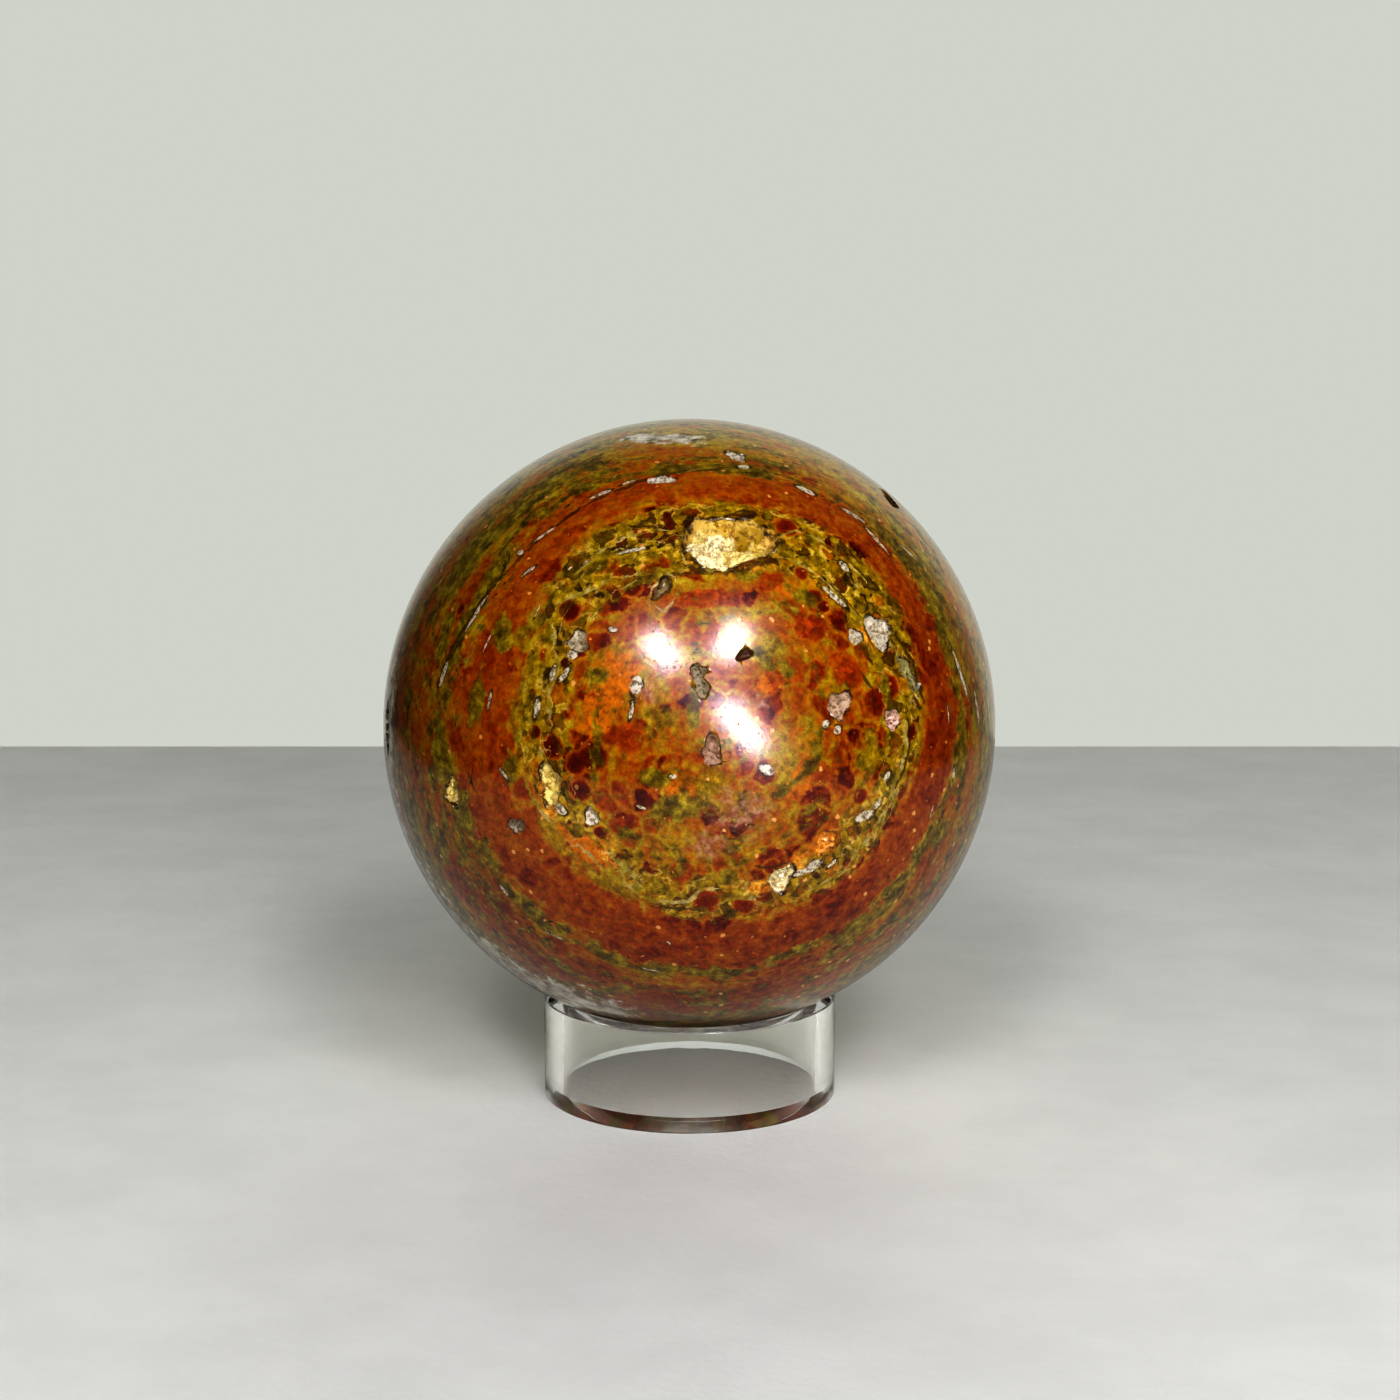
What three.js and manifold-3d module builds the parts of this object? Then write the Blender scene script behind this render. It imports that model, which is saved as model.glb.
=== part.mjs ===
// A polished ball of orbicular jasper that rests on a short clear ring.
// Millimetres, +Z up. The front faces -Y. The origin is on the table, in the middle of the ring's foot.

import * as THREE from "three";
import { mergeVertices } from "three/addons/utils/BufferGeometryUtils.js";
import Module from "manifold-3d";

// The ball, with each of the icosahedron's edges split into this many more parts.
const ballRadius = 33;
const ballDetail = 11;

// The ring: a length of clear tube with a wide bevel inside its lower edge.
const ringOuterRadius = 16;
const ringWall = 2;
const ringHeight = 11;
const bevelHeight = 1.35;
const bevelWidth = 1.75;
const ringSegments = 96;

// The ball touches the ring's upper inner edge, but for this hair's breadth.
const seatGap = 0.04;

const ringInnerRadius = ringOuterRadius - ringWall;
const ballCentreHeight = ringHeight + Math.sqrt(ballRadius ** 2 - ringInnerRadius ** 2) + seatGap;

// The open vugs in the stone. East is the way round the ball, from -Y towards +X, and up is latitude,
// both in degrees. A pit is so wide and high, so deep, and turned anticlockwise as seen from outside.
// Pits with quartz points give their number and length.
const pits = [
  { east: 39.2, up: 24.2, width: 3.0, height: 3.6, depth: 0.9, turn: 20, points: 5, length: 0.8 },
  { east: 33.2, up: 23.8, width: 1.7, height: 1.6, depth: 0.5, turn: 0 },
  { east: 43.8, up: 16.6, width: 1.4, height: 4.2, depth: 0.6, turn: 25 },
  { east: 27.4, up: 12.4, width: 3.2, height: 2.3, depth: 0.6, turn: 35 },
  { east: 38.4, up: 8.8, width: 2.0, height: 2.2, depth: 0.6, turn: 0 },
  { east: 10.4, up: 22.0, width: 1.9, height: 1.1, depth: 0.7, turn: 25 },
  { east: 1.8, up: 19.2, width: 1.7, height: 1.3, depth: 0.5, turn: 0 },
  { east: 2.4, up: 16.6, width: 1.3, height: 2.4, depth: 0.5, turn: 20 },
  { east: -5.2, up: 34.0, width: 1.4, height: 3.0, depth: 0.7, turn: -30 },
  { east: 4.0, up: 5.5, width: 1.8, height: 3.4, depth: 0.6, turn: 0 },
  { east: -20.9, up: 23.8, width: 2.0, height: 2.4, depth: 0.7, turn: 15 },
  { east: -24.2, up: -1.1, width: 2.1, height: 4.7, depth: 1.0, turn: 8, points: 5, length: 0.8 },
  { east: -16.8, up: -6.3, width: 1.5, height: 1.9, depth: 0.8, turn: 0 },
  { east: -46.4, up: -5.1, width: 2.2, height: 3.2, depth: 0.9, turn: 0, points: 4, length: 0.7 },
  { east: -31.6, up: -9.1, width: 2.1, height: 1.4, depth: 0.6, turn: 0 },
  { east: 16.9, up: -17.9, width: 2.3, height: 3.3, depth: 1.1, turn: -25, points: 4, length: 0.8 },
  { east: 24.8, up: -11.5, width: 1.9, height: 2.8, depth: 0.9, turn: -35 },
  { east: -9.0, up: 58.6, width: 3.3, height: 1.3, depth: 0.5, turn: 8 },
  { east: 21.0, up: 65.9, width: 1.6, height: 2.4, depth: 0.5, turn: 20 },
  { east: -74.6, up: 2.6, width: 1.7, height: 5.6, depth: 1.2, turn: 5 },
  { east: 78.0, up: 48.8, width: 1.8, height: 4.2, depth: 0.8, turn: -60 },
  { east: 80.0, up: -18.0, width: 1.5, height: 5.0, depth: 0.8, turn: -15 },
  { east: 168, up: 18, width: 6.4, height: 4.6, depth: 1.5, turn: 30, points: 10, length: 1.1 },
  { east: -138, up: -14, width: 2.8, height: 5.2, depth: 1.1, turn: 20, points: 5, length: 0.8 },
  { east: 122, up: -31, width: 2.6, height: 3.4, depth: 0.9, turn: -20, points: 4, length: 0.8 },
  { east: -112, up: 36, width: 3.4, height: 2.0, depth: 0.8, turn: 15 },
  { east: 152, up: -44, width: 2.0, height: 3.0, depth: 0.7, turn: 40 },
  { east: -166, up: 52, width: 2.8, height: 1.8, depth: 0.7, turn: -10 },
];

// The large druse above the bull's-eye: its outline's radius every 30 degrees, from east through up.
const druse = {
  east: 9.4,
  up: 43.3,
  depth: 1.8,
  turn: 0,
  radii: [5.2, 4.0, 3.2, 2.7, 3.5, 4.2, 4.3, 4.0, 3.9, 3.6, 3.3, 4.0],
  points: 30,
  length: 1.2,
};

// How finely a hollow is drawn: the sides round its rim, and the layers of the whole ball it comes from.
const druseFacets = { sides: 24, layers: 12 };
const pitFacets = { sides: 12, layers: 8 };

// A small pit's rim swells and shrinks by these shares, three and five times in its round.
const rimSwell = { three: 0.12, five: 0.08 };

// The quartz points stand this far out on a pit's floor, as a share of the rim's distance. Each is rooted
// in the stone and as thick as these shares of its length, leans to the middle, and strays a little.
const pointsReach = 0.86;
const pointRoot = 0.3;
const pointThickness = 0.42;
const pointLean = 0.9;
const pointStray = 0.35;
const pointSides = 6;

const goldenAngle = Math.PI * (3 - Math.sqrt(5));
const weldDistance = 1e-5;

const wasm = await Module();
wasm.setup();

// A closed geometry as a solid that can be joined and cut.
function toSolid(geometry) {
  const bare = geometry.clone();
  bare.deleteAttribute("normal");
  bare.deleteAttribute("uv");
  const merged = mergeVertices(bare, weldDistance);
  const mesh = new wasm.Mesh({
    numProp: 3,
    vertProperties: new Float32Array(merged.attributes.position.array),
    triVerts: new Uint32Array(merged.index.array),
  });
  return new wasm.Manifold(mesh);
}

function toGeometry(solid) {
  const mesh = solid.getMesh();
  const geometry = new THREE.BufferGeometry();
  geometry.setAttribute("position", new THREE.BufferAttribute(mesh.vertProperties, 3));
  geometry.setIndex(new THREE.BufferAttribute(mesh.triVerts, 1));
  geometry.computeVertexNormals();
  return geometry;
}

// The place of a pit: X runs east, Y runs up the ball and Z points out of it.
function placeOnBall(pit) {
  const east = THREE.MathUtils.degToRad(pit.east);
  const up = THREE.MathUtils.degToRad(pit.up);
  const outward = new THREE.Vector3(
    Math.sin(east) * Math.cos(up),
    -Math.cos(east) * Math.cos(up),
    Math.sin(up),
  );
  const eastward = new THREE.Vector3(Math.cos(east), Math.sin(east), 0);
  const upward = outward.clone().cross(eastward);
  const place = new THREE.Matrix4().makeBasis(eastward, upward, outward);
  place.setPosition(outward.multiplyScalar(ballRadius));
  return place.multiply(new THREE.Matrix4().makeRotationZ(THREE.MathUtils.degToRad(pit.turn)));
}

// How far the pit's rim is from its middle in one direction. A small pit is an uneven ellipse.
function rimRadius(pit, angle) {
  if (pit.radii) {
    const step = (2 * Math.PI) / pit.radii.length;
    const place = (((angle / step) % pit.radii.length) + pit.radii.length) % pit.radii.length;
    const first = Math.floor(place) % pit.radii.length;
    const next = (first + 1) % pit.radii.length;
    return THREE.MathUtils.lerp(pit.radii[first], pit.radii[next], place - Math.floor(place));
  }
  const along = (2 * Math.cos(angle)) / pit.width;
  const across = (2 * Math.sin(angle)) / pit.height;
  const threes = rimSwell.three * Math.sin(3 * angle + pit.east);
  const fives = rimSwell.five * Math.sin(5 * angle + pit.up);
  return (1 + threes + fives) / Math.hypot(along, across);
}

// The hollow of a pit: a ball drawn out to the pit's rim and pressed flat to its depth.
function pitHollow(pit) {
  const { sides, layers } = pit.radii ? druseFacets : pitFacets;
  const geometry = new THREE.SphereGeometry(1, sides, layers).rotateX(Math.PI / 2);
  const position = geometry.attributes.position;
  for (let i = 0; i < position.count; i += 1) {
    const rim = rimRadius(pit, Math.atan2(position.getY(i), position.getX(i)));
    position.setXYZ(i, position.getX(i) * rim, position.getY(i) * rim, position.getZ(i) * pit.depth);
  }
  return toSolid(geometry.applyMatrix4(placeOnBall(pit)));
}

// The six-sided quartz points on a pit's floor, rooted in the stone and leaning to the middle.
function quartzPoints(pit) {
  const solids = [];
  for (let i = 0; i < (pit.points ?? 0); i += 1) {
    const reach = pointsReach * Math.sqrt((i + 0.5) / pit.points);
    const angle = i * goldenAngle + pit.east;
    const rim = rimRadius(pit, angle);
    const floor = -pit.depth * Math.sqrt(1 - reach ** 2);
    const length = pit.length * (0.8 + 0.2 * Math.sin(5 * i + pit.up));
    const root = new THREE.Vector3(
      reach * rim * Math.cos(angle),
      reach * rim * Math.sin(angle),
      floor - pointRoot * length,
    );
    const lean = new THREE.Vector3(
      -pointLean * reach * Math.cos(angle) + pointStray * Math.sin(3 * i),
      -pointLean * reach * Math.sin(angle) + pointStray * Math.cos(4 * i),
      1,
    ).normalize();
    const turn = new THREE.Quaternion().setFromUnitVectors(new THREE.Vector3(0, 1, 0), lean);
    const point = new THREE.ConeGeometry(pointThickness * length, length, pointSides)
      .translate(0, length / 2, 0)
      .applyQuaternion(turn)
      .translate(root.x, root.y, root.z)
      .applyMatrix4(placeOnBall(pit));
    solids.push(toSolid(point));
  }
  return solids;
}

function joinAll(solids) {
  return solids.reduce((joined, solid) => joined.add(solid));
}

// The ball is cut by every hollow, less the quartz points that stand in it.
function ballGeometry() {
  const ball = toSolid(new THREE.IcosahedronGeometry(ballRadius, ballDetail));
  const allPits = [druse, ...pits];
  const hollows = joinAll(allPits.map(pitHollow));
  const points = joinAll(allPits.flatMap(quartzPoints));
  return toGeometry(ball.subtract(hollows.subtract(points)));
}

// The ring's section, turned round the middle: foot, outer wall, rim, bore and bevel.
function ringGeometry() {
  const section = [
    new THREE.Vector2(ringInnerRadius + bevelWidth, 0),
    new THREE.Vector2(ringOuterRadius, 0),
    new THREE.Vector2(ringOuterRadius, ringHeight),
    new THREE.Vector2(ringInnerRadius, ringHeight),
    new THREE.Vector2(ringInnerRadius, bevelHeight),
    new THREE.Vector2(ringInnerRadius + bevelWidth, 0),
  ];
  return new THREE.LatheGeometry(section, ringSegments).rotateX(Math.PI / 2);
}

const polishedJasper = new THREE.MeshStandardMaterial({ color: "#8a4416", roughness: 0.08, metalness: 0 });
const clearAcrylic = new THREE.MeshStandardMaterial({ color: "#e9eeec", roughness: 0.03, metalness: 0 });

const ball = new THREE.Mesh(ballGeometry(), polishedJasper);
ball.name = "jasper_sphere";
ball.position.set(0, 0, ballCentreHeight);

const ring = new THREE.Mesh(ringGeometry(), clearAcrylic);
ring.name = "ring_stand";

const jasperBallOnRing = new THREE.Group();
jasperBallOnRing.add(ball, ring);

export default jasperBallOnRing;
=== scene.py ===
"""A polished ball of orbicular jasper on a clear acrylic ring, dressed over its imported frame."""

import math

import bmesh
import bpy
import numpy as np
from mathutils import Matrix, Quaternion, Vector, noise


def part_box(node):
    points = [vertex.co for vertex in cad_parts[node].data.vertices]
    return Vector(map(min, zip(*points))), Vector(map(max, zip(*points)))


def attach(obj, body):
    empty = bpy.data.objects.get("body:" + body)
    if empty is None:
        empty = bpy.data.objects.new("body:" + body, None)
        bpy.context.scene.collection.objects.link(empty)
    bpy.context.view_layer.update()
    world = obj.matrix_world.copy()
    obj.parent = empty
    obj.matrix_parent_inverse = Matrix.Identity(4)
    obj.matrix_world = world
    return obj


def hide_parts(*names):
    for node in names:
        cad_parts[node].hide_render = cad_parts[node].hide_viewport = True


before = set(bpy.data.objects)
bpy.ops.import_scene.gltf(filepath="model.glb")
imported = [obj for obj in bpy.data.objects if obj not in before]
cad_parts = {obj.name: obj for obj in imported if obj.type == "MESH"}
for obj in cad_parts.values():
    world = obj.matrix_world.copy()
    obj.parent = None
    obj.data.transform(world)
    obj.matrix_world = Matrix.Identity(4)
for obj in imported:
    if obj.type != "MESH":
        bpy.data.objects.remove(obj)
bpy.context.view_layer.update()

MM = 0.001

# The ball and the ring, read from the frame.
ball_low, ball_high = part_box("jasper_sphere")
_, ring_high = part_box("ring_stand")
BALL_RADIUS = (ball_high.z - ball_low.z) / 2
BALL_CENTRE = (ball_low + ball_high) / 2
RING_RADIUS = ring_high.x
RING_HEIGHT = ring_high.z

# The ring's wall and the bevel inside its lower edge.
RING_WALL = 2.0 * MM
BEVEL_WIDTH = 1.75 * MM
BEVEL_HEIGHT = 1.35 * MM
BROKEN_EDGE = 0.12 * MM
RING_SEGMENTS = 240

# The camera stands this many ball radii from the ball's middle and looks down at it.
CAMERA_REACH = 9.2
CAMERA_ABOVE = math.radians(10.18)
CAMERA_TILT = math.radians(9.68)
CAMERA_ASIDE = 1.15 * MM
LENS_MM = 72
SENSOR_MM = 36

# The floor's half side and the lights' distance from the ball's middle, in metres.
FLOOR_HALF = 0.205
LIGHT_REACH = 0.7

# The soft boxes: name, east and up on the ball in degrees, width and height in metres, roll and watts.
LIGHTS = [
    ("high left light", -11.5, 35.9, 0.42, 0.62, 45, 12.4),
    ("high right light", 18.8, 38.8, 0.42, 0.60, -40, 12.1),
    ("low right light", 18.6, 9.1, 0.42, 0.92, 40, 18.2),
]

# The way to the pale side of the room, and how much more it lights than it is mirrored.
PALE_SIDE = (0.12, 0.985, 0.12)
BACK_FILL = 2.2

# The floor glows by this much where it is seen straight.
FLOOR_GLOW = 0.065

# The middle of the bull's-eye, and the ways right and up from it as the camera sees them.
EYE = Vector((0.0788, -0.9799, 0.1832)).normalized()
EYE_RIGHT = (Vector((1, 0, 0)) - EYE * EYE.x).normalized()
EYE_UP = EYE_RIGHT.cross(-EYE)

# Where two of the stone's bands end, in degrees from the bull's-eye, every 30 degrees round it from the
# right through up, and the even angle that each stands for.
CELLS_BEGIN = (28, [32, 29, 29, 26, 29, 28, 26, 28, 27, 29, 29, 31])
CELLS_END = (38, [40, 43, 43, 40, 40, 35, 35, 35, 33, 35, 37, 37])
LINE_BEGIN = (51, [51, 50, 53, 51, 53, 50, 52, 51, 51, 50, 50, 49])

# The open vugs: east and up on the ball in degrees, width, height and depth in mm, turn in degrees, the
# number of quartz points in it and their length in mm, and the colour of its druse.
CREAM, STRAW, GREY, BUFF, UMBER = "#e3d9b0", "#d8c67c", "#b4ad98", "#b39476", "#5f3d1c"
PITS = [
    (39.2, 24.2, 3.0, 3.6, 0.9, 20, 16, 0.8, "#c4bda6"),
    (33.2, 23.8, 1.7, 1.6, 0.5, 0, 6, 0.6, "#bdb59d"),
    (43.8, 16.6, 1.4, 4.2, 0.6, 25, 5, 0.5, "#8d854e"),
    (27.4, 12.4, 3.2, 2.3, 0.6, 35, 10, 0.6, "#b39c80"),
    (38.4, 8.8, 2.0, 2.2, 0.6, 0, 9, 0.6, "#c4a794"),
    (10.4, 22.0, 1.9, 1.1, 0.7, 25, 0, 0.3, UMBER),
    (1.8, 19.2, 1.7, 1.3, 0.5, 0, 5, 0.5, "#8f8468"),
    (2.4, 16.6, 1.3, 2.4, 0.5, 20, 5, 0.5, "#968a6e"),
    (-5.2, 34.0, 1.4, 3.0, 0.7, -30, 5, 0.5, "#7a6636"),
    (4.0, 5.5, 1.8, 3.4, 0.6, 0, 9, 0.5, "#a3856c"),
    (-20.9, 23.8, 2.0, 2.4, 0.7, 15, 9, 0.6, "#b0a68a"),
    (-24.2, -1.1, 2.1, 4.7, 1.0, 8, 14, 0.7, STRAW),
    (-16.8, -6.3, 1.5, 1.9, 0.8, 0, 6, 0.6, "#cfc6b2"),
    (-46.4, -5.1, 2.2, 3.2, 0.9, 0, 10, 0.7, STRAW),
    (-31.6, -9.1, 2.1, 1.4, 0.6, 0, 6, 0.5, "#958a74"),
    (16.9, -17.9, 2.3, 3.3, 1.1, -25, 12, 0.8, CREAM),
    (24.8, -11.5, 1.9, 2.8, 0.9, -35, 9, 0.7, "#d9a046"),
    (-9.0, 58.6, 3.3, 1.3, 0.5, 8, 7, 0.5, GREY),
    (21.0, 65.9, 1.6, 2.4, 0.5, 20, 6, 0.5, GREY),
    (-74.6, 2.6, 1.7, 5.6, 1.2, 5, 0, 0.4, "#4a4536"),
    (78.0, 48.8, 1.8, 4.2, 0.8, -60, 0, 0.4, "#4d421f"),
    (80.0, -18.0, 1.5, 5.0, 0.8, -15, 0, 0.4, "#4a3c2a"),
    (168, 18, 6.4, 4.6, 1.5, 30, 44, 0.9, CREAM),
    (-138, -14, 2.8, 5.2, 1.1, 20, 18, 0.8, STRAW),
    (122, -31, 2.6, 3.4, 0.9, -20, 12, 0.7, GREY),
    (-112, 36, 3.4, 2.0, 0.8, 15, 10, 0.6, BUFF),
    (152, -44, 2.0, 3.0, 0.7, 40, 8, 0.6, STRAW),
    (-166, 52, 2.8, 1.8, 0.7, -10, 8, 0.6, GREY),
]

# The large druse: its outline in mm, every 15 degrees from east through up, the mounds on its floor, as
# right, up, radius and height, and the colours that it is stained, as right, up, radius and colour.
DRUSE = (9.4, 43.3, 10.4, 7.0, 1.8, 0, 210, 0.75, "#c0a04c")
DRUSE_RIM = [5.2, 4.7, 4.0, 3.9, 3.5, 3.0, 3.0, 3.1, 3.2, 4.6, 4.3, 4.3,
             4.4, 4.3, 4.2, 4.1, 3.7, 3.5, 3.2, 3.0, 2.8, 3.1, 3.7, 4.5]
DRUSE_MOUNDS = [(-2.2, -1.2, 2.4, 1.3), (0.6, -1.9, 1.8, 1.1), (2.4, -1.2, 1.4, 0.8),
                (-0.6, 1.6, 2.6, 1.3), (2.4, 1.6, 1.8, 1.2), (-2.6, 2.4, 1.0, 1.0)]
DRUSE_STAINS = [(-0.4, 1.4, 2.8, "#d0b25a"), (1.6, 1.8, 1.8, "#ceb056"), (2.4, 0.3, 1.7, "#b0901f"),
                (3.2, -0.8, 1.3, "#ceb660"), (-1.8, -1.7, 2.9, "#ebe2b6"), (1.0, -2.0, 1.7, "#e6d894"),
                (-2.6, 0.9, 0.8, "#e0cf88"), (0.2, 0.3, 0.7, "#e9dea8")]

# Patches of other jasper in the bands: east and up in degrees, width and height in mm, and, where it
# isn't nought, turn in degrees. One maroon strip is a painted shadow, and the rose patches are partly
# painted reflection.
PATCHES = {
    "mustard": [
        (-5, 11, 4.0, 4.6), (-26, 20, 2.3, 6.2), (-29, 18, 2.4, 2.6), (-12, 41, 8.3, 4.4),
        (-21, 33, 6.5, 3.0, 25), (-26, 26, 3.4, 5.0), (-4, 42, 4.0, 4.0), (20, 41, 5.0, 3.0, -10),
        (32, 37, 6.4, 4.0, -35), (38, 31, 3.2, 4.4), (-24, -10.5, 8.0, 2.6, -47),
        (-14.5, -18.5, 8.0, 2.4, -33), (-5, -19, 6.0, 1.6), (33, 3, 4.2, 5.5), (16, 23, 3.6, 3.8),
        (-30, 4, 1.4, 4.0), (4, 0, 5.0, 3.6), (-33, 24, 3.0, 3.0), (36, -5, 2.4, 4.6),
        (25, -15, 3.4, 2.0, 40), (150, 5, 9, 6), (-150, 30, 7, 10), (-170, 10, 5, 4)],
    "orange": [
        (-18.5, -12, 9.0, 3.2, -38), (-26, 1, 1.5, 5.0), (-12, 19, 4.2, 4.6), (-15, 13, 4.6, 5.6),
        (-16, 9, 5.2, 1.4), (20, 1, 2.4, 6.4, -28), (24, -12, 3.6, 3.2), (13.6, 16.4, 1.8, 2.0),
        (-1, -1, 4.4, 2.2), (20, 33, 2.2, 2.0), (175, -12, 8, 5), (-120, 10, 4, 6)],
    "maroon": [
        (-17, 5.5, 3.6, 3.8), (-23.5, 5.5, 2.4, 2.2), (-18.5, 1.5, 3.2, 4.2), (-9, 34, 4.8, 2.4),
        # The maroon strip at 7 east and 37.5 up, under the big druse, is a painted shadow.
        (-14, 31, 3.4, 2.4), (-22, 11, 2.0, 2.0), (-6, 45, 4.2, 1.3), (7, 37.5, 8.6, 0.9),
        (-24, 29, 2.4, 2.4), (34, 6, 2.4, 2.0), (28, 0, 3.2, 2.2, -30), (160, 40, 6, 4), (-170, -5, 7, 5),
        (110, 0, 4, 9)],
    "scarlet": [
        (5, 32, 8.4, 2.4), (29, 19, 3.6, 3.4), (24, 26, 3.4, 3.2), (15, 17, 3.4, 2.8),
        (26.5, 4, 1.5, 8.5, -14), (-10, 8, 3.2, 3.4), (3, 24, 3.4, 2.6), (-10, 17.5, 0.9, 3.6),
        (-1, -15.5, 2.2, 1.8), (140, 30, 8, 12), (-145, -35, 12, 6)],
    # The rose patches round the highlights are partly painted reflection haze.
    "rose": [
        (9, -5, 9.6, 7.4), (4, -10.5, 7.0, 4.6), (11, 14, 4.9, 3.4), (-7, 15.5, 2.8, 3.8), (-160, 15, 9, 6)],
    "olive": [
        (-2, -4, 7.4, 3.2, 10), (-41, 12, 2.6, 7.0), (-38, 24, 3.0, 5.0, 20), (-50, 1, 3.0, 6.0),
        (-6, 1, 3.8, 2.6), (1, 13, 1.8, 6.0), (-59, 36, 5, 12), (-45, -9, 3.4, 5.4), (53, -14, 4.8, 4.6),
        (43, -24, 2.4, 3.6), (36, -30, 4.8, 2.2, 40), (14, 22, 3.6, 2.4), (-27, 25, 1.8, 2.4),
        (-32, 1, 2.2, 4.0), (12.5, 36.5, 3.8, 1.7), (-54, 22, 2.4, 8.0), (-31, -27, 1.8, 6.4, 35),
        (22, -35, 7.4, 1.7, 25), (-6, -38, 9.0, 1.5), (34, 31, 1.4, 4.6, -25), (45.5, 16, 1.3, 5.6, 18),
        (130, -5, 5, 12), (-125, -30, 9, 5)],
    "smooth": [
        (-18.5, -12, 9.0, 3.4, -38), (-24, -10.5, 8.0, 2.8, -47), (-14.5, -18.5, 8.0, 2.6, -33)],
    "gold": [
        (19.5, -15.5, 6.6, 2.6, 42), (13.5, -19.0, 4.4, 2.0, 8), (25.5, -11, 3.6, 2.0, 50),
        (-24.6, -2.6, 2.6, 6.4, 8), (9.6, 43, 11.2, 7.0), (37.5, 23.6, 4.4, 3.4, -30),
        (-14.6, -13.6, 3.4, 1.0, -38), (165, 14, 9, 6)],
    "quartz": [
        (-75, 0, 7, 20), (-76, -20, 8, 20), (-69, -34, 10, 15), (-59, -44, 13, 11), (-45, -51, 14, 8),
        (-30, -54.5, 10, 6), (-20, 74, 11, 4), (-86, -32, 5, 22, 20), (112, 30, 4, 26), (-118, 52, 16, 4)],
}

# Orbs that stand out on the front: jasper, east and up in degrees, and radius in mm.
ORBS = [
    ("maroon", -23.8, 5.4, 1.2), ("maroon", -27.4, 7.8, 0.7), ("maroon", -16.2, 4.2, 1.5),
    ("maroon", -19.3, 3.0, 1.1), ("maroon", -18.6, -1.6, 1.1), ("scarlet", -29.6, -2.4, 1.2),
    ("maroon", -15.2, -8.8, 0.7), ("olive", -5.9, -18.6, 1.0), ("scarlet", -1.1, -15.6, 1.2),
    ("olive", -19.6, -8.8, 0.8), ("scarlet", -29.6, -34.2, 1.6), ("scarlet", -10, 7.7, 1.5),
    ("olive", 7.1, -16.9, 1.0), ("umber", 3.2, -21.6, 1.35), ("umber", 10.4, -22.8, 1.1),
    ("olive", 31.4, 2.6, 0.85), ("maroon", 32.8, 6.6, 0.9), ("maroon", 34.9, 4.3, 0.6),
    ("maroon", 42.7, 6.2, 0.9), ("olive", 42, -23.7, 0.95), ("umber", 25.1, 45.9, 1.15),
    ("olive", 30.4, 43.0, 1.0), ("umber", 24.7, 36.2, 0.75), ("umber", 26.4, 31.8, 0.8),
    ("maroon", 27.6, 29.8, 0.75), ("olive", 22.7, 40.5, 1.0), ("olive", 21.1, 48.4, 0.65),
    ("scarlet", 30.2, 17.6, 1.75), ("umber", 38.8, 14.6, 1.2), ("umber", 35, 12.3, 1.45),
    ("maroon", -23.8, 29.3, 1.25), ("umber", -7.1, 38.0, 1.4), ("olive", -20.4, 38.6, 1.3),
    ("umber", -26.9, 21.1, 0.8), ("maroon", -11.8, 33.9, 1.0), ("scarlet", 13.8, 16.8, 1.2),
    ("umber", -17.4, 38.2, 0.9), ("umber", 33.4, 36.6, 0.9), ("olive", 36.2, 29.6, 0.8),
    ("scarlet", -13.2, 8.2, 1.1), ("umber", 14.8, -15.2, 0.8), ("umber", 31.0, -3.6, 0.9),
]

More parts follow.
